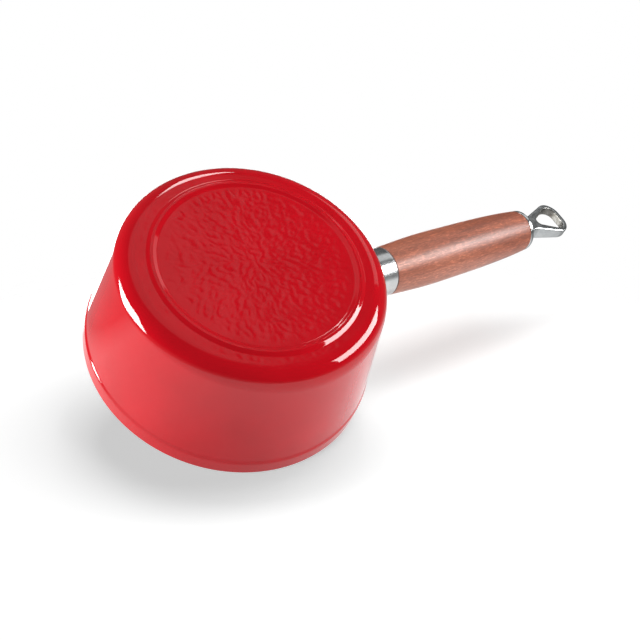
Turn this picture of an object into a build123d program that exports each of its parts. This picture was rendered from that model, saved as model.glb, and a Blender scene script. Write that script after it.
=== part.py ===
from build123d import *

import os
from math import cos, radians, sin

# Enamelled cast-iron saucepan with a wooden handle that screws on.
# Millimetres, +Z up. The origin is the centre of the foot ring, on the plane the pan stands on.
# The handle leaves along +X and climbs a little towards its end.

# Bowl: outline radii and heights
rim_radius = 86.0
bowl_height = 81.5
wall_thickness = 4.0
floor_thickness = 4.8
base_corner_radius = 76.5  # where the wall's line meets the base, before the shoulder is rounded
base_height = 1.4  # of the flat ring between the foot ring and the shoulder
shoulder_radius = 12.2
inner_corner_radius = 14.0
rim_band_height = 11.5
rim_band_step = 0.8
rim_edge_radius = 1.2

# Foot ring on the underside
ring_radius = 58.7
ring_flat_half = 0.8
ring_slope = 2.2
disc_recess = 1.1  # the disc inside the ring stays this far above the ground

# Handle axis
axis_height = 48.2  # of the handle's axis above the ground, at the centre of the bowl
handle_tilt = 6.3  # degrees

# Stations along the handle's axis, measured from the bowl's centre line
boss_root = 78.0
boss_face = 92.0
stub_end = 102.0
ferrule_end = 111.8
grip_end = 239.3
eye_tip = 286.0

# Boss and stub, cast with the bowl
boss_radius = 16.3
boss_root_radius = 20.0
stub_radius = 11.0
thread_radius = 4.0
thread_length = 12.5

# Handle pieces
running_gap = 0.05
face_gap = 0.05
ferrule_radius = 15.7
ferrule_web = 2.0
spigot_radius = 13.35
seam_gap = 0.3
grip_bore_radius = 4.3
grip_end_radius = 13.9

# Hanging eye
cap_radius = 14.0
cap_rim = 3.0
cap_dome = 1.4
neck_half_width = 6.0
neck_station = 254.0
loop_half_width = 12.9
loop_corner_radius = 10.0
band_width = 3.6
wedge_half_height_at_cap = 6.4
wedge_half_height_at_tip = 2.8
hole_apex_station = 262.5
hole_apex_radius = 3.6
rod_socket_end = 250.0


def turned(outline):
    """The solid that an outline of (radius, height) points sweeps around Z."""
    return revolve(Plane.XZ * make_face(outline), Axis.Z, 360)


def turned_on_handle(outline):
    """The solid that an outline of (station, radius) points sweeps around the handle's axis, here X."""
    return revolve(Plane.XY * make_face(outline), Axis.X, 360)


def closed(*points):
    return Polyline(*points, close=True)


def place_on_handle(piece):
    """Moves a piece made along X onto the tilted handle axis."""
    tilt = radians(handle_tilt)
    along = (cos(tilt), 0, sin(tilt))
    across = (-sin(tilt), 0, cos(tilt))
    return Plane(origin=(0, 0, axis_height), x_dir=along, z_dir=across).location * piece


def make_bowl():
    """The enamelled casting: bowl, foot ring, rim band, boss and the stub the handle pushes onto."""
    band_bottom = bowl_height - rim_band_height
    wall_top_radius = rim_radius - rim_band_step - 0.2
    rim_inner_radius = rim_radius - wall_thickness + 0.4
    wall_slope = (wall_top_radius - base_corner_radius) / (band_bottom - base_height)
    floor_height = disc_recess + floor_thickness
    floor_corner = base_corner_radius - wall_thickness + wall_slope * (floor_height - base_height)

    ring_inner_foot = (ring_radius - ring_flat_half - ring_slope, disc_recess)
    ring_inner_edge = (ring_radius - ring_flat_half, 0)
    ring_outer_edge = (ring_radius + ring_flat_half, 0)
    ring_outer_foot = (ring_radius + ring_flat_half + ring_slope, base_height)
    outside = [
        (0, disc_recess),
        ring_inner_foot,
        ring_inner_edge,
        ring_outer_edge,
        ring_outer_foot,
        (base_corner_radius, base_height),
        (wall_top_radius, band_bottom),
        (rim_radius - 0.2, band_bottom + 2.0),
        (rim_radius, bowl_height),
        (0, bowl_height),
    ]
    outside_radii = [1.4, 0.9, 0.9, 1.4, shoulder_radius, 4.0, 4.0, rim_edge_radius]
    inside = [
        (0, floor_height),
        (floor_corner, floor_height),
        (rim_inner_radius, bowl_height),
        (rim_inner_radius, bowl_height + 5),
        (0, bowl_height + 5),
    ]
    block = turned(FilletPolyline(*outside, radius=outside_radii) + Line(outside[-1], outside[0]))
    cavity = turned(closed(*inside))
    floor_edge = cavity.edges().filter_by(GeomType.CIRCLE).sort_by(Axis.Z)[0]
    cavity = fillet(floor_edge, inner_corner_radius)

    boss = turned_on_handle(
        closed(
            (boss_root, 0),
            (boss_root, boss_root_radius),
            (boss_root + 5, boss_radius + 1.0),
            (boss_root + 10, boss_radius),
            (boss_face, boss_radius),
            (boss_face, stub_radius),
            (stub_end, stub_radius),
            (stub_end, 0),
        )
    )
    thread = turned_on_handle(
        closed(
            (stub_end - thread_length - 2, 0),
            (stub_end - thread_length - 2, thread_radius + running_gap),
            (stub_end + 1, thread_radius + running_gap),
            (stub_end + 1, 0),
        )
    )
    bowl = block + place_on_handle(boss) - cavity - place_on_handle(thread)
    mouth = bowl.edges().filter_by(GeomType.CIRCLE).filter_by(
        lambda edge: abs(edge.center().Z - bowl_height) < 0.01 and abs(edge.radius - rim_inner_radius) < 0.01
    )
    return fillet(mouth, rim_edge_radius)


def make_ferrule():
    """Steel sleeve: a bore that slides onto the stub, a web, and a recess for the grip's spigot."""
    web_start = stub_end + 0.4
    web_end = web_start + ferrule_web
    recess_radius = spigot_radius + running_gap
    start = boss_face + face_gap
    sleeve = turned_on_handle(
        closed(
            (start, stub_radius + running_gap),
            (start, ferrule_radius),
            (ferrule_end, ferrule_radius),
            (ferrule_end, recess_radius),
            (web_end, recess_radius),
            (web_end, thread_radius + running_gap),
            (web_start, thread_radius + running_gap),
            (web_start, stub_radius + running_gap),
        )
    )
    outer_edges = sleeve.edges().filter_by(GeomType.CIRCLE).filter_by(
        lambda edge: abs(edge.radius - ferrule_radius) < 0.01
    )
    return place_on_handle(chamfer(outer_edges, 0.3))


def make_grip():
    """Turned wooden grip: a barrel with a rounded end, a spigot for the ferrule and a bore for the rod."""
    shoulder = ferrule_end + seam_gap
    spigot_end = stub_end + 0.4 + ferrule_web + 0.2
    length = grip_end - shoulder
    barrel = Spline(
        (shoulder, 15.65),
        (shoulder + 0.25 * length, 17.1),
        (shoulder + 0.50 * length, 16.95),
        (shoulder + 0.75 * length, 16.2),
        (shoulder + 0.91 * length, 15.15),
        (grip_end - 0.9, grip_end_radius + 0.35),
    )
    end_round = Line((grip_end - 0.9, grip_end_radius + 0.35), (grip_end, grip_end_radius - 0.6))
    inside = Polyline(
        (grip_end, grip_end_radius - 0.6),
        (grip_end, grip_bore_radius),
        (spigot_end, grip_bore_radius),
        (spigot_end, spigot_radius),
        (shoulder, spigot_radius),
        (shoulder, 15.65),
    )
    return place_on_handle(turned_on_handle(barrel + end_round + inside))


def make_tie_rod():
    """Threaded rod that runs through the grip, from the stub's thread to the hanging eye."""
    start = stub_end - thread_length
    rod = turned_on_handle(
        closed(
            (start, 0),
            (start, thread_radius - 0.8),
            (start + 0.8, thread_radius),
            (rod_socket_end, thread_radius),
            (rod_socket_end, 0),
        )
    )
    return place_on_handle(rod)


def make_hanging_eye():
    """Cast end cap with a wedge-shaped neck that opens into a rounded triangular loop."""
    cap_start = grip_end + face_gap
    cap = turned_on_handle(
        closed(
            (cap_start, 0),
            (cap_start, cap_radius - 0.5),
            (cap_start + 0.5, cap_radius),
            (cap_start + cap_rim - 0.5, cap_radius),
            (cap_start + cap_rim, cap_radius - 0.6),
            (cap_start + cap_rim + cap_dome, 6.0),
            (cap_start + cap_rim + cap_dome, 0),
        )
    )
    corner_station = eye_tip - loop_corner_radius
    corner_offset = loop_half_width - loop_corner_radius
    corners = [Pos(corner_station, side * corner_offset) for side in (-1, 1)]
    loop_circles = [corner * Circle(loop_corner_radius) for corner in corners]
    loop_circles.append(Pos(neck_station, 0) * Circle(neck_half_width))
    loop = make_hull([edge for circle in loop_circles for edge in circle.edges()])
    hole_circles = [corner * Circle(loop_corner_radius - band_width) for corner in corners]
    hole_circles.append(Pos(hole_apex_station, 0) * Circle(hole_apex_radius))
    hole = make_hull([edge for circle in hole_circles for edge in circle.edges()])
    neck = make_face(
        closed(
            (cap_start + 1, -neck_half_width - 1.5),
            (neck_station, -neck_half_width + 0.1),
            (neck_station, neck_half_width - 0.1),
            (cap_start + 1, neck_half_width + 1.5),
        )
    )
    plan = extrude(loop + neck, amount=12, both=True)
    side = make_face(
        closed(
            (cap_start + 1, -wedge_half_height_at_cap),
            (eye_tip + 1, -wedge_half_height_at_tip),
            (eye_tip + 1, wedge_half_height_at_tip),
            (cap_start + 1, wedge_half_height_at_cap),
        )
    )
    wedge = extrude(Plane.XZ * side, amount=20, both=True)
    through = extrude(hole, amount=14, both=True)
    socket = turned_on_handle(
        closed((cap_start - 1, 0), (cap_start - 1, thread_radius), (rod_socket_end, thread_radius), (rod_socket_end, 0))
    )
    return place_on_handle(cap + (plan & wedge) - through - socket)


def main():
    os.makedirs("parts", exist_ok=True)
    pieces = {
        "pan_body": make_bowl(),
        "ferrule": make_ferrule(),
        "wooden_grip": make_grip(),
        "tie_rod": make_tie_rod(),
        "hanging_eye": make_hanging_eye(),
    }
    for name, piece in pieces.items():
        export_step(piece, f"parts/{name}.step")


main()
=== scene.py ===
from math import ceil, cos, pi, radians, sin, tan

import bpy
import numpy as np
from mathutils import Matrix, Vector, noise


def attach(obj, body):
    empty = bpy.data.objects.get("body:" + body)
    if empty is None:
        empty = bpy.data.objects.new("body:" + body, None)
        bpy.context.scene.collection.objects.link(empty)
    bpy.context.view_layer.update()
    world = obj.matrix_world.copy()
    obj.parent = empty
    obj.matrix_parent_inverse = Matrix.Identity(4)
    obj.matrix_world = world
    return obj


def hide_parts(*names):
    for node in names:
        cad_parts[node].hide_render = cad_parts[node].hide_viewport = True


# Enamelled cast-iron saucepan with a screwed-on wooden handle.
# Shapes are worked out in millimetres in the row frame and written to the meshes in metres.
# The pan stands upright with its foot ring at height 0 and its handle towards +X.
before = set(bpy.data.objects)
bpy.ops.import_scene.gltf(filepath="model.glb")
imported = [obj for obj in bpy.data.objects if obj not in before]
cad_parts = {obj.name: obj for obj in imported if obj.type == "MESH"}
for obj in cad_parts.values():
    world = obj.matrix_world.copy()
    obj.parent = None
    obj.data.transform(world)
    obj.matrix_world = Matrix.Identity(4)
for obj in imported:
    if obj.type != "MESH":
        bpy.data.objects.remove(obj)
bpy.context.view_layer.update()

MM = 0.001

# Bowl
rim_radius = 86.0
bowl_height = 81.5
wall_thickness = 4.0
floor_thickness = 4.8
base_corner_radius = 76.5
base_height = 1.4
shoulder_radius = 12.2
inner_corner_radius = 14.0
rim_band_height = 11.5
rim_band_step = 0.8
rim_band_lean = 0.2  # how far the band leans out over its height
rim_band_ramp = 2.0  # the height over which the wall steps out to the band
rim_edge_radius = 1.2
lip_middle = 1.8  # where the outside line ends and the inside line starts, in from the rim
mouth_flare = 0.4
ring_radius = 58.7
ring_flat_half = 0.8
ring_slope = 2.2
disc_recess = 1.1

band_bottom = bowl_height - rim_band_height
wall_top_radius = rim_radius - rim_band_step - rim_band_lean
wall_slope = (wall_top_radius - base_corner_radius) / (band_bottom - base_height)

# Handle axis and stations along it
axis_height = 48.2
handle_tilt = radians(6.3)
boss_face = 92.0
stub_end = 102.0
ferrule_end = 111.8
grip_end = 239.3
eye_tip = 286.0

# Boss, stub and thread
boss_radius = 16.3
boss_fillet = 4.2
boss_edge = 0.6
stub_radius = 11.0
stub_edge = 0.8
thread_radius = 4.0
thread_length = 12.5
thread_pitch = 1.25
thread_depth = 0.5
thread_run_out = 1.8  # how far the threaded hole goes on behind the rod
thread_row_step = 0.18
thread_rows = int((thread_length + thread_run_out) / thread_row_step)

# Ferrule and grip
ferrule_radius = 15.7
ferrule_web = 2.0
ferrule_web_start = stub_end + 0.4
spigot_radius = 13.35
seam_gap = 0.3
grip_start = ferrule_end + seam_gap
grip_bore_radius = 4.3
grip_edge_radius = 14.25
grip_edge_length = 0.9
grip_edge_depth = 0.95
running_gap = 0.05

# Hanging eye
cap_radius = 14.0
cap_rim = 3.0
cap_dome = 1.4
neck_half_width = 6.0
neck_station = 254.0
loop_half_width = 12.9
loop_corner_radius = 10.0
band_width = 3.6
wedge_half_height_at_cap = 6.4
wedge_half_height_at_tip = 2.8
hole_apex_station = 262.5
hole_apex_radius = 3.6
rod_socket_end = 250.0
rod_clearance = 0.03

# Steps round the turned shapes
around_bowl = 512
around_boss = 144
around_grip = 192
around_rod = 72

handle_turn = np.array((
    (cos(handle_tilt), 0, -sin(handle_tilt)),
    (0, 1, 0),
    (sin(handle_tilt), 0, cos(handle_tilt)),
))


# ---------------------------------------------------------------- meshes

def make_mesh(name, points, faces, flat_angle=None):
    """A mesh object from points in millimetres; edges bent past flat_angle degrees stay sharp."""
    mesh = bpy.data.meshes.new(name)
    mesh.from_pydata((np.asarray(points) * MM).tolist(), [], faces)
    mesh.validate()
    mesh.shade_smooth()
    if flat_angle is not None:
        mesh.set_sharp_from_angle(angle=radians(flat_angle))
    piece = bpy.data.objects.new(name, mesh)
    bpy.context.scene.collection.objects.link(piece)
    return piece


def on_handle(points):
    """Points given along the handle's own axes, moved to their place in the row frame."""
    return np.asarray(points) @ handle_turn.T + (0, 0, axis_height)


def add_piece(piece, body, node, slot, *materials):
    """Gives a finished mesh its materials and makes it stand for its CAD node."""
    for material in materials:
        piece.data.materials.append(material)
    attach(piece, body)
    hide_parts(node)
    return piece


def rounded(corners, radii, step):
    """A line through the corners, each inner one rounded, with points at most a step apart."""
    corners = [np.array(corner, float) for corner in corners]
    bends = [corners[0]]
    for before, corner, after, radius in zip(corners, corners[1:], corners[2:], radii):
        into = (corner - before) / np.linalg.norm(corner - before)
        out = (after - corner) / np.linalg.norm(after - corner)
        side = np.sign(into[0] * out[1] - into[1] * out[0])
        turn = np.arccos(np.clip(into @ out, -1, 1))
        start = corner - into * radius * tan(turn / 2)
        centre = start + side * radius * np.array((-into[1], into[0]))
        count = max(2, ceil(turn / radians(7.5)), ceil(radius * turn / step))
        for angle in side * np.linspace(0, turn, count + 1):
            spoke = start - centre
            bends.append(centre + np.array((
                spoke[0] * cos(angle) - spoke[1] * sin(angle),
                spoke[0] * sin(angle) + spoke[1] * cos(angle),
            )))
    bends.append(corners[-1])
    return densify(np.array(bends), step)


def densify(line, step):
    """The same line with its long stretches cut into equal parts no longer than a step."""
    dense = [line[0]]
    for start, end in zip(line, line[1:]):
        parts = max(1, ceil(np.linalg.norm(end - start) / step))
        dense.extend(start + (end - start) * k / parts for k in range(1, parts + 1))
    return np.array(dense)


def grid_faces(rows, columns, flip=False):
    """Faces between rows of points that each close on themselves."""
    faces = []
    for row in range(rows - 1):
        for column in range(columns):
            beside = (column + 1) % columns
            a, b = row * columns + column, row * columns + beside
            c, d = b + columns, a + columns
            faces.append((d, c, b, a) if flip else (a, b, c, d))
    return faces


def fan(centre, first, columns, flip=False):
    """Triangles from a centre point to one closed row."""
    faces = []
    for column in range(columns):
        a, b = first + column, first + (column + 1) % columns
        faces.append((centre, b, a) if flip else (centre, a, b))
    return faces


def turned_on_x(name, outline, columns, closed_loop, ridges=None, flat_angle=35):
    """A piece turned about the handle's axis from an outline of (station, radius).

    A closed outline gives a tube, and an open one has its ends on the axis.
    """
    outline = np.asarray(outline, float)
    turns = np.arange(columns) * 2 * pi / columns
    stations, radii = outline[:, 0], outline[:, 1]
    inner = slice(None) if closed_loop else slice(1, -1)
    s, r = stations[inner, None], radii[inner, None] + 0 * turns[None]
    if ridges is not None:
        r = r + ridges(s + 0 * turns[None], turns[None] + 0 * s)
    points = np.stack((s + 0 * turns[None], r * np.cos(turns), r * np.sin(turns)), axis=-1)
    rows = points.shape[0]
    points = points.reshape(-1, 3)
    faces = grid_faces(rows, columns)
    if closed_loop:
        for column in range(columns):
            beside = (column + 1) % columns
            last = (rows - 1) * columns
            faces.append((last + column, last + beside, beside, column))
    else:
        points = np.vstack((points, (stations[0], 0, 0), (stations[-1], 0, 0)))
        faces += fan(len(points) - 2, 0, columns, flip=True)
        faces += fan(len(points) - 1, (rows - 1) * columns, columns)
    return make_mesh(name, on_handle(points), faces, flat_angle)


def rounded_edge(station, radius, length, depth):
    """Points (station, radius) of an edge that starts level at a station and turns inwards."""
    return [
        (station + length * sin(angle), radius - depth + depth * cos(angle))
        for angle in np.linspace(0, pi / 2, 6)[1:]
    ]


def thread_wave(station, turn):
    """From 0 to 1 and back over each pitch of the thread, which climbs as it turns."""
    return np.abs(((station / thread_pitch - turn / (2 * pi)) % 1) * 2 - 1)


def smooth_step(low, high, value):
    """From 0 at the low value to 1 at the high one, level at both."""
    t = np.clip((value - low) / (high - low), 0, 1)
    return t * t * (3 - 2 * t)


def layered_noise(points, size, octaves=3, seed=0.0):
    """Smooth noise of about -1 to 1 at each point, with features of a size in millimetres."""
    shift = Vector((seed, seed * 0.7, -seed))
    return np.array([
        noise.fractal(Vector(point) / size + shift, 1.0, 2.0, octaves) for point in points
    ])


# ---------------------------------------------------------------- bowl

def bowl_lines():
    """Outside and inside lines of the bowl's section, as (radius, height) from the middle."""
    floor_height = disc_recess + floor_thickness
    floor_corner = base_corner_radius - wall_thickness + wall_slope * (floor_height - base_height)
    outside = rounded(
        (
            (0, disc_recess),
            (ring_radius - ring_flat_half - ring_slope, disc_recess),
            (ring_radius - ring_flat_half, 0),
            (ring_radius + ring_flat_half, 0),
            (ring_radius + ring_flat_half + ring_slope, base_height),
            (base_corner_radius, base_height),
            (wall_top_radius, band_bottom),
            (rim_radius - rim_band_lean, band_bottom + rim_band_ramp),
            (rim_radius, bowl_height),
            (rim_radius - lip_middle, bowl_height),
        ),
        (1.4, 0.5, 0.5, 1.4, shoulder_radius, 4.0, 4.0, rim_edge_radius),
        step=0.9,
    )
    inside = rounded(
        (
            (rim_radius - lip_middle, bowl_height),
            (rim_radius - wall_thickness + mouth_flare, bowl_height),
            (floor_corner, floor_height),
            (0, floor_height),
        ),
        (rim_edge_radius, inner_corner_radius),
        step=2.4,
    )
    return outside, inside[1:]


def hammered_disc(points, radius):
    """Shallow dimples all over the disc inside the foot ring, in millimetres downwards."""
    fade_start, fade_end = 50, 55.4
    disc = np.flatnonzero(radius < fade_end)
    coarse = layered_noise(points[disc], 5.6, octaves=2, seed=3.1)
    fine = layered_noise(points[disc], 2.9, octaves=1, seed=8.4)
    dimples = -0.27 * np.abs(coarse) + 0.06 * fine + 0.08
    relief = np.zeros(len(points))
    relief[disc] = dimples * (1 - smooth_step(fade_start, fade_end, radius[disc]))
    return relief


def rippled_foot(points, radius, bearing):
    """Ripples outside the foot ring, on the side away from the handle, in millimetres."""
    rise_start, rise_end, fall_start, fall_end = 61.4, 63.2, 64.2, 66.6
    foot = np.flatnonzero((radius > rise_start) & (radius < fall_end))
    ripple = layered_noise(points[foot] * (1, 1, 0), 2.6, octaves=1, seed=5.7)
    where = smooth_step(rise_start, rise_end, radius[foot])
    where *= 1 - smooth_step(fall_start, fall_end, radius[foot])
    side = smooth_step(55, 80, bearing[foot]) * (1 - smooth_step(262, 285, bearing[foot]))
    relief = np.zeros(len(points))
    relief[foot] = 0.22 * np.minimum(ripple, 0.1) * where * side
    return relief


def raised_lozenges(points, radius, bearing):
    """Soft raised lozenges in an arc inside the foot ring: a plain pattern, with no letters."""
    arc_radius, height = 51.3, 0.20
    half_width, half_length, lean = 1.25, 2.5, 0.35
    relief = np.zeros(len(points))
    for k, middle in enumerate((*np.linspace(262, 308, 11), 239.0, 244.5)):
        along = radius * np.radians(bearing - middle)
        across = radius - arc_radius
        u = (along - lean * (-1) ** k * across) / half_width
        v = across / half_length
        outwards = np.abs(u) ** 1.6 + np.abs(v) ** 1.6
        relief = np.maximum(relief, height * (1 - smooth_step(0.20, 1.0, outwards)))
    return relief


def base_relief(points):
    """How far the underside's enamel stands off its plain shape, in millimetres downwards."""
    x, y = points[:, 0], points[:, 1]
    radius, bearing = np.hypot(x, y), np.degrees(np.arctan2(y, x)) % 360
    return (
        hammered_disc(points, radius)
        + rippled_foot(points, radius, bearing)
        + raised_lozenges(points, radius, bearing)
    )


def station_on_wall(offset, across):
    """Station where a line along the handle meets the wall.

    The line is offset sideways, and across the axis in the pan's upright plane.
    """
    station = 80.0 + 0 * offset
    for _ in range(12):
        height = axis_height + station * sin(handle_tilt) + across * cos(handle_tilt)
        wall_radius = base_corner_radius + wall_slope * (height - base_height)
        reach = np.sqrt(np.maximum(wall_radius**2 - offset**2, 1))
        station = (reach + across * sin(handle_tilt)) / cos(handle_tilt)
    return station


def boss_rows():
    """Rows of points from a skirt just under the wall, over boss and stub, to the thread's end."""
    turns = np.arange(around_boss) * 2 * pi / around_boss
    side, up = np.cos(turns), np.sin(turns)
    rows = []

    def row(station, radius):
        rows.append(np.stack((station + 0 * turns, radius * side, radius * up), axis=-1))

    wide = boss_radius + boss_fillet
    land = station_on_wall(wide * side, wide * up)
    near = station_on_wall(boss_radius * side, boss_radius * up)
    top = near + boss_fillet + 0.5
    # A skirt sunk into the wall, then the fillet that rises from the wall's surface
    row(land - 1.8, wide - 1.5)
    row(land - 0.5, wide + 0.6)
    for t in np.linspace(0, 1, 15):
        station = (1 - t) ** 2 * (land - 0.12) + 2 * t * (1 - t) * (near + 0.15) + t**2 * top
        row(station, (1 - t) ** 2 * wide + 2 * t * (1 - t) * boss_radius + t**2 * boss_radius)
    # The boss, its face and the stub
    for t in np.linspace(0.25, 1, 4):
        row(top + (boss_face - boss_edge - top) * t, boss_radius)
    for station, radius in rounded_edge(boss_face - boss_edge, boss_radius, boss_edge, boss_edge):
        row(station, radius)
    for radius in (14.5, 12.6, 11.5):
        row(boss_face, radius)
    for station in (boss_face, boss_face + 0.3, 95, 98, 100, stub_end - stub_edge):
        row(station, stub_radius)
    for station, radius in rounded_edge(stub_end - stub_edge, stub_radius, stub_edge, stub_edge):
        row(station, radius)
    for radius in (8.5, 6.4, 5.2):
        row(stub_end, radius)
    # The threaded hole, whose first rows fade in from a countersink
    hole = thread_radius + running_gap
    row(stub_end - 0.1, hole + 0.75)
    for k in range(thread_rows):
        station = stub_end - 0.3 - k * thread_row_step
        fade = min(1.0, (k + 1) / 4)
        row(station, hole + thread_depth * (thread_wave(station, turns) * fade + 0.6 * (1 - fade)))
    row(stub_end - thread_length - thread_run_out - 0.2, hole)
    return rows


def make_pan(enamel, cream, bare):
    """The casting in one piece: the turned bowl, and the boss with its stub and threaded hole."""
    outside, inside = bowl_lines()
    line = np.vstack((outside, inside))[1:-1]
    turns = np.arange(around_bowl) * 2 * pi / around_bowl
    radii, heights = line[:, 0, None], line[:, 1, None]
    grid = np.stack(
        (radii * np.cos(turns), radii * np.sin(turns), heights + 0 * turns), axis=-1
    )
    under = (line[:, 1] < disc_recess + 0.4) & (np.arange(len(line)) < len(outside))
    grid[under, :, 2] -= base_relief(grid[under].reshape(-1, 3)).reshape(-1, around_bowl)
    bowl = np.vstack((grid.reshape(-1, 3), (0, 0, disc_recess), (0, 0, inside[-1, 1])))
    faces = grid_faces(len(line), around_bowl, flip=True)
    faces += fan(len(bowl) - 2, 0, around_bowl)
    faces += fan(len(bowl) - 1, (len(line) - 1) * around_bowl, around_bowl, flip=True)

    rows = boss_rows()
    boss = np.vstack((*rows, (rows[0][:, 0].mean(), 0, 0), (rows[-1][0, 0], 0, 0)))
    boss_faces = grid_faces(len(rows), around_boss)
    boss_faces += fan(len(boss) - 2, 0, around_boss, flip=True)
    boss_faces += fan(len(boss) - 1, (len(rows) - 1) * around_boss, around_boss)
    faces += [tuple(len(bowl) + corner for corner in face) for face in boss_faces]

    # One material number for each ring of faces; the last two rings of each part are its fans.
    bowl_rings, boss_rings = np.zeros(len(line) + 1, int), np.zeros(len(rows) + 1, int)
    bowl_rings[len(outside) - 2 : -2] = bowl_rings[-1] = 1
    boss_rings[-thread_rows - 6 : -2] = boss_rings[-1] = 2
    numbers = np.concatenate((
        np.repeat(bowl_rings, around_bowl), np.repeat(boss_rings, around_boss)
    ))
    piece = make_mesh("saucepan_body", np.vstack((bowl, on_handle(boss))), faces)
    piece.data.polygons.foreach_set("material_index", numbers.astype(np.int32))
    piece.visible_diffuse = False  # the bowl's red stays off the paper
    return add_piece(piece, "pan", "pan_body", "enamelled_iron", enamel, cream, bare)


# ---------------------------------------------------------------- handle

def grip_outline():
    """The grip's barrel from its ferrule end to its rounded far end, as (station, radius)."""
    length = grip_end - grip_start
    knots = np.array((
        (0.0, 15.65), (0.25, 17.1), (0.5, 16.95), (0.75, 16.2), (0.91, 15.15),
        (1 - grip_edge_length / length, grip_edge_radius),
    ))
    s, r = knots[:, 0] * length + grip_start, knots[:, 1]
    slopes = np.gradient(r, s)
    line = []
    for k in range(len(s) - 1):
        gap = s[k + 1] - s[k]
        for t in np.linspace(0, 1, max(3, int(gap / 1.2)), endpoint=False):
            line.append((
                s[k] + t * gap,
                (2 * t**3 - 3 * t**2 + 1) * r[k] + (t**3 - 2 * t**2 + t) * gap * slopes[k]
                + (3 * t**2 - 2 * t**3) * r[k + 1] + (t**3 - t**2) * gap * slopes[k + 1],
            ))
    return line


def make_grip(wood):
    """The turned grip: its barrel, the recess for the ferrule's spigot, and the rod's bore."""
    spigot_end = ferrule_web_start + ferrule_web + 0.2
    break_depth, break_length = 0.35, 0.12
    barrel = grip_outline()
    barrel[0] = (grip_start, barrel[0][1] - break_depth)
    barrel.insert(1, (grip_start + break_length, barrel[1][1] - break_length))
    edge_start = grip_end - grip_edge_length
    end = rounded_edge(edge_start, grip_edge_radius, grip_edge_length, grip_edge_depth)
    inside = [
        (grip_end, 9.0), (grip_end, grip_bore_radius + 0.4), (grip_end - 0.4, grip_bore_radius),
        (spigot_end + 0.3, grip_bore_radius), (spigot_end, grip_bore_radius + 0.3),
        (spigot_end, spigot_radius - 0.4), (spigot_end + 0.4, spigot_radius),
        (grip_start - 0.05, spigot_radius), (grip_start, spigot_radius + 0.05),
    ]
    outline = barrel + [(edge_start, grip_edge_radius)] + end + inside
    outline = densify(np.array(outline), 3.0)
    piece = turned_on_x("wooden_handle_grip", outline, around_grip, closed_loop=True)
    return add_piece(piece, "grip", "wooden_grip", "oiled_wood", wood)


def make_ferrule(steel):
    """The sleeve over the stub, with a web that the rod passes through."""
    start = boss_face + running_gap
    web_end = ferrule_web_start + ferrule_web
    recess = spigot_radius + running_gap
    bore = stub_radius + running_gap
    rod_hole = thread_radius + running_gap
    edge, chamfer = 0.3, 0.3
    low, high, level = start + edge, ferrule_end - edge, ferrule_radius - edge
    angles = np.linspace(0, pi / 2, 5)
    outline = [(low - edge * cos(angle), level + edge * sin(angle)) for angle in angles]
    outline += [(high + edge * sin(angle), level + edge * cos(angle)) for angle in angles]
    outline += [
        (ferrule_end, recess + 0.2), (ferrule_end - 0.2, recess), (web_end, recess),
        (web_end, rod_hole + chamfer), (web_end - chamfer, rod_hole),
        (ferrule_web_start + chamfer, rod_hole), (ferrule_web_start, rod_hole + chamfer),
        (ferrule_web_start, bore), (start + chamfer, bore), (start, bore + chamfer),
    ]
    outline = densify(np.array(outline), 1.5)
    piece = turned_on_x("steel_ferrule", outline, around_grip, closed_loop=True, flat_angle=30)
    return add_piece(piece, "grip", "ferrule", "brushed_steel", steel)


def make_tie_rod(steel):
    """The rod: threaded over the stub's depth, then plain as far as its socket in the eye."""
    start = stub_end - thread_length
    radius = thread_radius - 0.02
    thread_end = stub_end + 6.0
    rod_end = rod_socket_end - 0.1
    thread_step = 0.13

    def ridges(station, turn):
        depth = thread_depth * smooth_step(start + 0.6, start + 1.4, station)
        depth = depth * (1 - smooth_step(thread_end - 1.2, thread_end, station))
        return -depth * thread_wave(station, turn)

    outline = [(start, 0), (start, radius - 0.9), (start + 0.8, radius - 0.05)]
    outline += [(s, radius) for s in np.arange(start + 0.95, thread_end + 0.5, thread_step)]
    outline += [(s, radius) for s in np.linspace(thread_end + 1, rod_end, 40)]
    outline += [(rod_end, 0)]
    piece = turned_on_x(
        "tie_rod_m8", outline, around_rod, closed_loop=False, ridges=ridges, flat_angle=50
    )
    return add_piece(piece, "eye", "tie_rod", "plain_steel", steel)


# ---------------------------------------------------------------- hanging eye

def hull(circles):
    """Outline of the smallest convex shape round some (x, y, radius) circles, anticlockwise."""
    points = sorted(
        (x + radius * cos(turn), y + radius * sin(turn))
        for x, y, radius in circles
        for turn in np.arange(0, 2 * pi, pi / 60)
    )

    def half(ordered):
        chain = []
        for p in ordered:
            while len(chain) > 1 and (
                (chain[-1][0] - chain[-2][0]) * (p[1] - chain[-2][1])
                <= (chain[-1][1] - chain[-2][1]) * (p[0] - chain[-2][0])
            ):
                chain.pop()
            chain.append(p)
        return chain[:-1]

    return np.array(half(points) + half(points[::-1]))


def outline_distance(outline, x, y):
    """Distance of each grid point from a closed outline, negative inside."""
    nearest = np.full(x.shape, 1e9)
    inside = np.zeros(x.shape, bool)
    for (ax, ay), (bx, by) in zip(outline, np.roll(outline, -1, axis=0)):
        ex, ey = bx - ax, by - ay
        t = np.clip(((x - ax) * ex + (y - ay) * ey) / (ex * ex + ey * ey + 1e-12), 0, 1)
        nearest = np.minimum(nearest, np.hypot(x - ax - t * ex, y - ay - t * ey))
        crosses = (ay > y) != (by > y)
        inside ^= crosses & (x < ax + (y - ay) * ex / (ey if ey else 1e-12))
    return np.where(inside, -nearest, nearest)


def blend_in(a, b, width):
    """Union of two distance fields with a fillet about a width wide."""
    share = np.clip(0.5 + 0.5 * (b - a) / width, 0, 1)
    return b * (1 - share) + a * share - width * share * (1 - share)


def cut_with(a, b, width):
    """Overlap of two distance fields with its edge rounded about a width wide."""
    return -blend_in(-a, -b, width)


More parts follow.
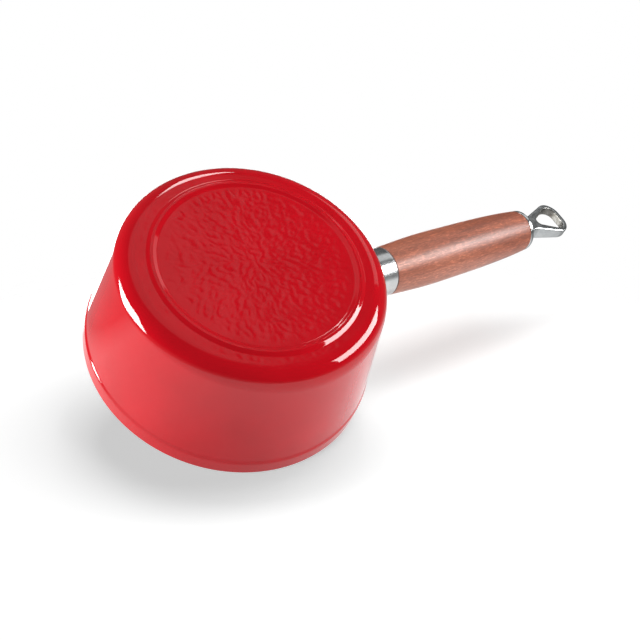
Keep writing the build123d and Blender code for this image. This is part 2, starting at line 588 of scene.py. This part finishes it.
def surface_of(field, low, pitch):
    """Points and faces of the zero surface of a distance field sampled on a grid."""
    inside = field < 0
    shape = np.array(field.shape) - 1
    total, crossings = np.zeros((*shape, 3)), np.zeros(shape)
    count = np.zeros(shape, int)

    def corner(data, dx, dy, dz):
        return data[dx : shape[0] + dx, dy : shape[1] + dy, dz : shape[2] + dz]

    for dx in (0, 1):
        for dy in (0, 1):
            for dz in (0, 1):
                count += corner(inside, dx, dy, dz)
    for axis in range(3):
        for one in (0, 1):
            for two in (0, 1):
                start = [one, two]
                start.insert(axis, 0)
                end = list(start)
                end[axis] = 1
                a, b = corner(field, *start), corner(field, *end)
                cut = (a < 0) != (b < 0)
                share = np.where(cut, a / np.where(cut, a - b, 1), 0)
                place = np.zeros((*shape, 3)) + start
                place[..., axis] = share
                total += place * cut[..., None]
                crossings += cut
    mixed = (count > 0) & (count < 8)
    number = np.full(shape, -1)
    number[mixed] = np.arange(mixed.sum())
    cells = np.argwhere(mixed)
    points = low + pitch * (cells + total[mixed] / crossings[mixed][:, None])
    faces = []
    for axis in range(3):
        first, second = (axis + 1) % 3, (axis + 2) % 3
        here = np.take(inside, range(shape[axis]), axis)
        there = np.take(inside, range(1, shape[axis] + 1), axis)
        for flip, wanted in ((False, here & ~there), (True, ~here & there)):
            where = np.argwhere(wanted)
            where = where[(where[:, first] > 0) & (where[:, second] > 0)]
            where = where[(where[:, first] < shape[first]) & (where[:, second] < shape[second])]
            step_one, step_two = np.zeros(3, int), np.zeros(3, int)
            step_one[first], step_two[second] = 1, 1
            ring = [where - step_one - step_two, where - step_two, where, where - step_one]
            corners = np.stack([number[tuple(cell.T)] for cell in ring], axis=1)
            faces += (corners[:, ::-1] if flip else corners).tolist()
    return points, faces


def settle(points, field, low, pitch):
    """Moves points onto the field's zero surface along its slope."""
    slopes = np.stack(np.gradient(field, pitch), axis=-1)
    for _ in range(4):
        at = (points - low) / pitch
        cell = np.clip(np.floor(at).astype(int), 0, np.array(field.shape) - 2)
        share = at - cell
        value, slope = np.zeros(len(points)), np.zeros((len(points), 3))
        for dx in (0, 1):
            for dy in (0, 1):
                for dz in (0, 1):
                    weight = np.abs(np.array((1 - dx, 1 - dy, 1 - dz)) - share).prod(axis=1)
                    index = (cell[:, 0] + dx, cell[:, 1] + dy, cell[:, 2] + dz)
                    value += weight * field[index]
                    slope += weight[:, None] * slopes[index]
        points = points - value[:, None] * slope / np.maximum((slope**2).sum(1), 0.2)[:, None]
    return points


def make_hanging_eye(steel, hole_shade):
    """Cap, neck and loop in one casting, as a smooth union of distance fields."""
    pitch, margin = 0.34, 1.0
    edge_round, hole_round, cap_round, back_round = 1.3, 0.9, 0.9, 0.5
    neck_fillet, cap_fillet = 1.5, 3.2
    hole_wall = 0.55  # how near to the hole's outline a face is part of its wall
    low = np.array((grip_end - 0.9, -cap_radius - margin, -cap_radius - margin))
    high = np.array((eye_tip + margin, cap_radius + margin, cap_radius + margin))
    counts = np.ceil((high - low) / pitch).astype(int)
    x, y, z = (low[k] + pitch * np.arange(counts[k]) for k in range(3))
    plan_x, plan_y = np.meshgrid(x, y, indexing="ij")
    corner_station = eye_tip - loop_corner_radius
    corner_offset = loop_half_width - loop_corner_radius
    corners = [(corner_station, side * corner_offset) for side in (-1, 1)]
    loop = hull(
        [(*corner, loop_corner_radius) for corner in corners]
        + [(neck_station, 0, neck_half_width)]
    )
    hole = hull(
        [(*corner, loop_corner_radius - band_width) for corner in corners]
        + [(hole_apex_station, 0, hole_apex_radius)]
    )
    cap_start = grip_end + 0.05
    neck = np.array((
        (cap_start + 0.6, -neck_half_width - 1.5), (neck_station, -neck_half_width + 0.1),
        (neck_station, neck_half_width - 0.1), (cap_start + 0.6, neck_half_width + 1.5),
    ))
    plan = blend_in(
        outline_distance(loop, plan_x, plan_y), outline_distance(neck, plan_x, plan_y), neck_fillet
    )
    through = outline_distance(hole, plan_x, plan_y)
    x, y, z = x[:, None, None], y[None, :, None], z[None, None, :]
    share = (x - cap_start - 1) / (eye_tip - cap_start)
    thinning = wedge_half_height_at_tip - wedge_half_height_at_cap
    half_height = wedge_half_height_at_cap + thinning * share
    wedge = (np.abs(z) - half_height) * 0.99
    band = cut_with(plan[:, :, None] + 0 * z, wedge + 0 * y, edge_round)
    band = cut_with(band, -through[:, :, None] + 0 * z, hole_round)
    spoke = np.sqrt(y**2 + z**2)
    dome_top = cap_start + cap_rim + cap_dome * (1 - np.clip(spoke / cap_radius, 0, 1) ** 2)
    cap = cut_with(spoke - cap_radius + 0 * x, x - dome_top, cap_round)
    cap = cut_with(cap, cap_start - x + 0 * spoke, back_round)
    solid = blend_in(band, cap, cap_fillet)
    solid = np.maximum(solid, cap_start - x + 0 * spoke)
    socket = np.maximum(spoke - thread_radius - rod_clearance + 0 * x, x - rod_socket_end)
    solid = np.maximum(solid, -socket)
    points, faces = surface_of(solid, low, pitch)
    points = settle(points, solid, low, pitch)
    middles = points[np.array(faces)].mean(axis=1)
    in_hole = np.abs(outline_distance(hole, middles[:, 0], middles[:, 1])) < hole_wall
    piece = make_mesh("steel_hanging_eye", on_handle(points), faces, flat_angle=48)
    # Faces round the hole take the darker steel: painted shade inside the hole.
    piece.data.polygons.foreach_set("material_index", in_hole.astype(np.int32))
    return add_piece(piece, "eye", "hanging_eye", "polished_steel", steel, hole_shade)


# ---------------------------------------------------------------- materials

def add_node(tree, kind, operation=None, **values):
    """A new node with some of its sockets set."""
    node = tree.nodes.new("ShaderNode" + kind)
    if operation:
        node.operation = operation
    for socket, value in values.items():
        node.inputs[socket.replace("_", " ")].default_value = value
    return node


def add_ramp(tree, factor, stops):
    """A colour ramp with stops of (position, grey or colour)."""
    node = add_node(tree, "ValToRGB")
    elements = node.color_ramp.elements
    while len(elements) < len(stops):
        elements.new(0.5)
    for element, (position, colour) in zip(elements, stops):
        element.position = position
        element.color = (*colour, 1) if hasattr(colour, "__len__") else (colour,) * 3 + (1,)
    tree.links.new(factor, node.inputs["Fac"])
    return node.outputs["Color"]


class Shader:
    """A node material under construction around one Principled shader."""

    def __init__(self, name, on_axis=False, **values):
        self.material = bpy.data.materials.new(name)
        self.material.use_nodes = True
        self.tree = self.material.node_tree
        self.main = self.tree.nodes["Principled BSDF"]
        for socket, value in values.items():
            self.main.inputs[socket.replace("_", " ")].default_value = value
        self.coords = add_node(self.tree, "TexCoord").outputs["Object"]
        if on_axis:
            level = axis_height * MM
            self.coords = self.place(
                (1, 1, 1),
                (0, handle_tilt, 0),
                (-level * sin(handle_tilt), 0, -level * cos(handle_tilt)),
            )

    def link(self, source, target):
        self.tree.links.new(source, target)

    def set(self, socket, source):
        self.link(source, self.main.inputs[socket])

    def place(self, scale, rotation=(0, 0, 0), shift=(0, 0, 0)):
        """The piece's coordinates in features per metre along each axis."""
        node = add_node(self.tree, "Mapping", Scale=scale, Rotation=rotation, Location=shift)
        self.link(self.coords, node.inputs["Vector"])
        return node.outputs["Vector"]

    def noise(self, where, detail=3.0, roughness=0.5, distortion=0.0):
        node = add_node(
            self.tree, "TexNoise",
            Scale=1.0, Detail=detail, Roughness=roughness, Distortion=distortion,
        )
        self.link(where, node.inputs["Vector"])
        return node.outputs["Fac"]

    def clouds(self, frequency, detail=3.0, roughness=0.5):
        """Noise with about the same number of features per metre along every axis."""
        return self.noise(self.place((frequency,) * 3), detail, roughness)

    def cells(self, where):
        node = add_node(self.tree, "TexVoronoi", Scale=1.0)
        self.link(where, node.inputs["Vector"])
        return node.outputs["Distance"]

    def ramp(self, factor, *stops):
        return add_ramp(self.tree, factor, stops)

    def vary(self, socket, factor, low, high, span=(0.3, 0.7)):
        """Takes a socket from one value to another while the factor crosses a span."""
        self.set(socket, self.ramp(factor, (span[0], low), (span[1], high)))

    def mix(self, share, a, b, mode="MIX"):
        node = add_node(self.tree, "Mix")
        node.data_type = "RGBA"
        node.blend_type = mode
        for k, value in ((0, share), (6, a), (7, b)):
            if isinstance(value, float):
                node.inputs[k].default_value = value
            else:
                self.link(value, node.inputs[k])
        return node.outputs[2]

    def along(self, start, end):
        """From 0 to 1 between two stations on the handle's axis, in metres."""
        parts = add_node(self.tree, "SeparateXYZ")
        self.link(self.coords, parts.inputs[0])
        node = add_node(self.tree, "MapRange", From_Min=start, From_Max=end)
        self.link(parts.outputs["X"], node.inputs["Value"])
        return node.outputs["Result"]

    def bump(self, height, depth):
        """Adds relief of about a depth in millimetres to the shader's normal."""
        node = add_node(self.tree, "Bump", Distance=depth * MM, Strength=1.0)
        self.link(height, node.inputs["Height"])
        if self.main.inputs["Normal"].links:
            self.link(self.main.inputs["Normal"].links[0].from_socket, node.inputs["Normal"])
        self.link(node.outputs["Normal"], self.main.inputs["Normal"])


def red_enamel():
    shader = Shader("red_enamel", IOR=1.52)
    patches = shader.clouds(30, 4.0, 0.55)
    shader.vary("Base Color", patches, (0.355, 0.0001, 0.0042), (0.41, 0.0002, 0.0056))
    shader.vary("Roughness", shader.clouds(55), 0.035, 0.065)
    shader.bump(shader.clouds(330, 2.0, 0.4), 0.012)
    return shader.material


def cream_enamel():
    shader = Shader("sand_enamel", Coat_Weight=0.4, Coat_Roughness=0.05)
    patches = shader.clouds(60, 5.0, 0.6)
    shader.vary("Base Color", patches, (0.66, 0.58, 0.44), (0.74, 0.67, 0.53), (0.28, 0.72))
    shader.vary("Roughness", patches, 0.10, 0.17)
    shader.bump(shader.clouds(280, 2.0, 0.4), 0.012)
    return shader.material


def bare_iron():
    shader = Shader("bare_iron", Metallic=0.9)
    patches = shader.clouds(700, 5.0, 0.6)
    shader.vary("Base Color", patches, (0.10, 0.10, 0.10), (0.24, 0.23, 0.22))
    shader.vary("Roughness", patches, 0.38, 0.6)
    shader.bump(patches, 0.05)
    return shader.material


def brushed_steel():
    shader = Shader("brushed_steel", on_axis=True, Metallic=1.0)
    streaks = shader.noise(shader.place((2600, 60, 60)), 4.0, 0.65)
    clouds = shader.noise(shader.place((160, 90, 90)))
    shader.vary("Base Color", clouds, (0.52, 0.535, 0.54), (0.61, 0.625, 0.63))
    shader.vary("Roughness", shader.mix(0.5, streaks, clouds), 0.19, 0.27)
    shader.bump(streaks, 0.004)
    return shader.material


def polished_steel():
    shader = Shader("polished_steel", Metallic=1.0)
    clouds, fine = shader.clouds(220, 5.0, 0.6), shader.clouds(900)
    shader.vary("Base Color", clouds, (0.50, 0.525, 0.535), (0.62, 0.64, 0.645))
    shader.vary("Roughness", clouds, 0.12, 0.24)
    shader.bump(clouds, 0.05)
    shader.bump(fine, 0.008)
    return shader.material


def hole_painted_shade():
    """Darker, rougher steel for the wall of the eye's hole; its dark colour is painted shade."""
    shader = Shader("hole_steel_painted_shade", Metallic=1.0)
    clouds = shader.clouds(380, 5.0, 0.6)
    shader.vary("Base Color", clouds, (0.15, 0.14, 0.12), (0.26, 0.26, 0.25))
    shader.vary("Roughness", clouds, 0.30, 0.46)
    shader.bump(clouds, 0.04)
    return shader.material


def plain_steel():
    shader = Shader("zinc_plated_steel", on_axis=True, Metallic=1.0)
    clouds = shader.clouds(300, 4.0, 0.6)
    shader.vary("Base Color", clouds, (0.42, 0.42, 0.41), (0.56, 0.56, 0.54))
    shader.vary("Roughness", clouds, 0.28, 0.42)
    shader.bump(shader.clouds(1200, 2.0), 0.01)
    return shader.material


def oiled_wood():
    """Reddish hardwood with its grain along the handle, darker in a thin line round both ends."""
    shader = Shader("oiled_wood", on_axis=True, Coat_Weight=0.42, Coat_Roughness=0.37)
    rings = shader.noise(shader.place((9, 130, 95), (0, 0, 0.05)), 5.0, 0.6, 0.6)
    fibres = shader.noise(shader.place((120, 1100, 1100), (0, 0, 0.04)), 4.0, 0.6)
    pores = shader.cells(shader.place((240, 1300, 1300), (0, 0, 0.03)))
    flecks = shader.noise(shader.place((300, 1150, 1150), (0, 0, 0.06)), 2.0, 0.6)
    base = shader.ramp(
        rings,
        (0.25, (0.19, 0.047, 0.022)),
        (0.48, (0.31, 0.084, 0.041)),
        (0.72, (0.42, 0.135, 0.071)),
    )
    thread = shader.ramp(fibres, (0.32, (0.62, 0.60, 0.58)), (0.62, 1.0))
    light = shader.ramp(flecks, (0.50, 0.92), (0.66, (1.5, 1.6, 1.7)))
    dark = shader.ramp(pores, (0.06, (0.5, 0.42, 0.38)), (0.20, 1.0))
    for share, layer in ((1.0, thread), (1.0, light), (0.8, dark)):
        base = shader.mix(share, base, layer, "MULTIPLY")
    # A thin darker line round each end of the grip, next to the ferrule and the cap.
    for edge, dark_line_width in ((grip_start, 0.9), (grip_end, -0.7)):
        reach = shader.along(edge * MM, (edge + dark_line_width) * MM)
        dark_end_line = shader.ramp(reach, (0.25, (0.16, 0.12, 0.12)), (1.0, 1.0))
        base = shader.mix(1.0, base, dark_end_line, "MULTIPLY")
    shader.set("Base Color", base)
    shader.vary("Roughness", fibres, 0.50, 0.36)
    shader.bump(fibres, 0.05)
    shader.bump(pores, 0.03)
    return shader.material


# ---------------------------------------------------------------- camera, light and floor

# The pan stays upright, so the room turns instead: the camera looks up at the underside, and
# the table is the tilted plane on which a pan tipped over on its rim would lie.
camera_place = Vector((-320.8, 295.52, -494.05)) * MM
look = Vector((0.5142, -0.3858, 0.7660)).normalized()
right = Vector((0.7995, 0.5390, -0.2652)).normalized()
above = look.cross(right).normalized() * -1
focal_length, sensor_width = 67.5, 36.0
tabletop_pitch = radians(23)  # how steeply the camera looks down on the table
table_up = (above * cos(tabletop_pitch) - look * sin(tabletop_pitch)).normalized()
table_away = table_up.cross(right).normalized()

pan_middle = Vector((0.02, 0, 0.04))  # what the lights face
softbox_distance = 1.1
paper_white = 0.9

# Brightness of the room by height along the table's up, from 0 straight below to 1 above
room_brightness = (
    (0.0, 0.42), (0.40, 0.34), (0.46, 0.15), (0.50, 0.11),
    (0.945, 0.12), (0.965, 0.45), (1.0, 0.50),
)


def turned(x_axis, y_axis, z_axis, place):
    """A matrix that puts an object at a place with its axes along the given ones."""
    return Matrix.Translation(place) @ Matrix((x_axis, y_axis, z_axis)).transposed().to_4x4()


def toward(bearing, elevation):
    """A direction above the table: bearing 0 is towards the camera, 90 to its right."""
    b, e = radians(bearing), radians(elevation)
    return right * (sin(b) * cos(e)) - table_away * (cos(b) * cos(e)) + table_up * sin(e)


def add_softbox(name, direction, wide, tall, radiance, in_gloss=True, shadow=False):
    """A rectangular light that fills so many degrees each way as seen from the pan.

    One that throws no shadow lights only the pieces, so that the paper under them stays even.
    """
    width, height = (2 * softbox_distance * tan(radians(angle) / 2) for angle in (wide, tall))
    light = bpy.data.lights.new(name, "AREA")
    light.shape = "RECTANGLE"
    light.size, light.size_y, light.energy = width, height, pi * width * height * radiance
    light.use_shadow = shadow
    lamp = bpy.data.objects.new(name, light)
    if not shadow:
        lamp.light_linking.receiver_collection = off_the_floor
    back = direction.normalized()
    side = table_up.cross(back).normalized()
    lamp.matrix_world = turned(side, back.cross(side), back, pan_middle + back * softbox_distance)
    lamp.visible_camera = False
    lamp.visible_glossy = in_gloss
    bpy.context.scene.collection.objects.link(lamp)
    return lamp


def floor_material(name, glow, reach):
    """White paper that fades out away from the pan and lets a camera behind it see through."""
    material = bpy.data.materials.new(name)
    material.use_nodes = True
    tree = material.node_tree
    tree.nodes.clear()
    paper = add_node(tree, "BsdfDiffuse", Color=(paper_white, paper_white, paper_white, 1))
    lit = add_node(tree, "Emission", Strength=glow)
    both = add_node(tree, "AddShader")
    clear = add_node(tree, "BsdfTransparent")
    mixed = add_node(tree, "MixShader")
    coords = add_node(tree, "TexCoord")
    length = add_node(tree, "VectorMath", "LENGTH")
    fade = add_node(tree, "MapRange", From_Min=reach * 0.75, From_Max=reach)
    side = add_node(tree, "NewGeometry")
    most = add_node(tree, "Math", "MAXIMUM")
    out = add_node(tree, "OutputMaterial")
    for source, target in (
        (paper.outputs[0], both.inputs[0]),
        (lit.outputs[0], both.inputs[1]),
        (coords.outputs["Object"], length.inputs[0]),
        (length.outputs["Value"], fade.inputs["Value"]),
        (fade.outputs[0], most.inputs[0]),
        (side.outputs["Backfacing"], most.inputs[1]),
        (most.outputs[0], mixed.inputs[0]),
        (both.outputs[0], mixed.inputs[1]),
        (clear.outputs[0], mixed.inputs[2]),
        (mixed.outputs[0], out.inputs["Surface"]),
    ):
        tree.links.new(source, target)
    return material


def add_floor(name, centre, up, reach, glow, lights_pan):
    """A one-sided white floor, which can also be kept out of the light that reaches the pan."""
    side = up.orthogonal().normalized()
    corners = [(-reach, -reach, 0), (reach, -reach, 0), (reach, reach, 0), (-reach, reach, 0)]
    mesh = bpy.data.meshes.new(name)
    mesh.from_pydata(corners, [], [(0, 1, 2, 3)])
    mesh.materials.append(floor_material(name, glow, reach))
    floor = bpy.data.objects.new(name, mesh)
    floor.matrix_world = turned(side, up.cross(side), up, centre)
    bpy.context.scene.collection.objects.link(floor)
    floor.visible_shadow = False
    if not lights_pan:
        floor.visible_diffuse = floor.visible_glossy = floor.visible_transmission = False


def make_world():
    """White for a camera that looks past the floor, and a dim studio for light and gloss."""
    world = bpy.data.worlds.new("studio")
    bpy.context.scene.world = world
    world.use_nodes = True
    tree = world.node_tree
    tree.nodes.clear()
    coords = add_node(tree, "TexCoord")
    height = add_node(tree, "VectorMath", "DOT_PRODUCT")
    height.inputs[1].default_value = table_up
    share = add_node(tree, "Math", "MULTIPLY_ADD")
    share.inputs[1].default_value = share.inputs[2].default_value = 0.5
    room = add_node(tree, "Background")
    seen = add_node(tree, "Background", Color=(1, 1, 1, 1), Strength=1.0)
    path = add_node(tree, "LightPath")
    mixed = add_node(tree, "MixShader")
    out = add_node(tree, "OutputWorld")
    for source, target in (
        (coords.outputs["Generated"], height.inputs[0]),
        (height.outputs["Value"], share.inputs[0]),
        (add_ramp(tree, share.outputs[0], room_brightness), room.inputs["Color"]),
        (path.outputs["Is Camera Ray"], mixed.inputs[0]),
        (room.outputs[0], mixed.inputs[1]),
        (seen.outputs[0], mixed.inputs[2]),
        (mixed.outputs[0], out.inputs["Surface"]),
    ):
        tree.links.new(source, target)


def make_camera():
    lens = bpy.data.cameras.new("camera")
    lens.lens, lens.sensor_width = focal_length, sensor_width
    lens.clip_start, lens.clip_end = 0.01, 20
    camera = bpy.data.objects.new("camera", lens)
    camera.matrix_world = turned(right, above, -look, camera_place)
    bpy.context.scene.collection.objects.link(camera)
    bpy.context.scene.camera = camera


def lowest_rim_point():
    """The point of the rim that the tipped pan would rest on."""
    circle = (
        Vector((rim_radius * cos(a), rim_radius * sin(a), bowl_height)) * MM
        for a in np.arange(0, 2 * pi, 0.01)
    )
    return min(circle, key=lambda point: point.dot(table_up))


# ---------------------------------------------------------------- scene

pieces = (
    make_pan(red_enamel(), cream_enamel(), bare_iron()),
    make_ferrule(brushed_steel()),
    make_grip(oiled_wood()),
    make_tie_rod(plain_steel()),
    make_hanging_eye(polished_steel(), hole_painted_shade()),
)
off_the_floor = bpy.data.collections.new("lit_by_the_side_lights")
for piece in pieces:
    off_the_floor.objects.link(piece)

make_camera()
make_world()
add_floor("paper_table", lowest_rim_point(), table_up, reach=0.36, glow=0.42, lights_pan=True)
add_floor(
    "paper_stand", Vector((0.05, 0, 0)), Vector((0, 0, 1)), reach=0.9, glow=0.26, lights_pan=False
)

# Reflected in the enamel and the steel, throwing no shadow
add_softbox("softbox_right", toward(89, 20), wide=36, tall=19, radiance=13)
add_softbox("softbox_left", toward(-85, 3), wide=34, tall=23, radiance=25)
add_softbox("softbox_back", toward(176, 60), wide=14, tall=12, radiance=9)
gloss_card = add_softbox("gloss_card", toward(131, 40), wide=24, tall=19, radiance=0.9)
gloss_card.visible_diffuse = False

# Light without a reflection: two from above throw the shadows, one from the front fills in
add_softbox(
    "softbox_key", toward(84, 66), wide=34, tall=28, radiance=4.3, in_gloss=False, shadow=True
)
add_softbox(
    "softbox_above", toward(180, 84), wide=26, tall=24, radiance=5.4, in_gloss=False, shadow=True
)
add_softbox("fill_front", toward(10, -18), wide=45, tall=36, radiance=2.9, in_gloss=False)

# From above the upright pan, for cameras that see it standing
add_softbox("softbox_top", Vector((0.45, -0.5, 0.95)), wide=42, tall=34, radiance=5.5, shadow=True)

view = bpy.context.scene.view_settings
view.view_transform = "Standard"
view.look = "None"
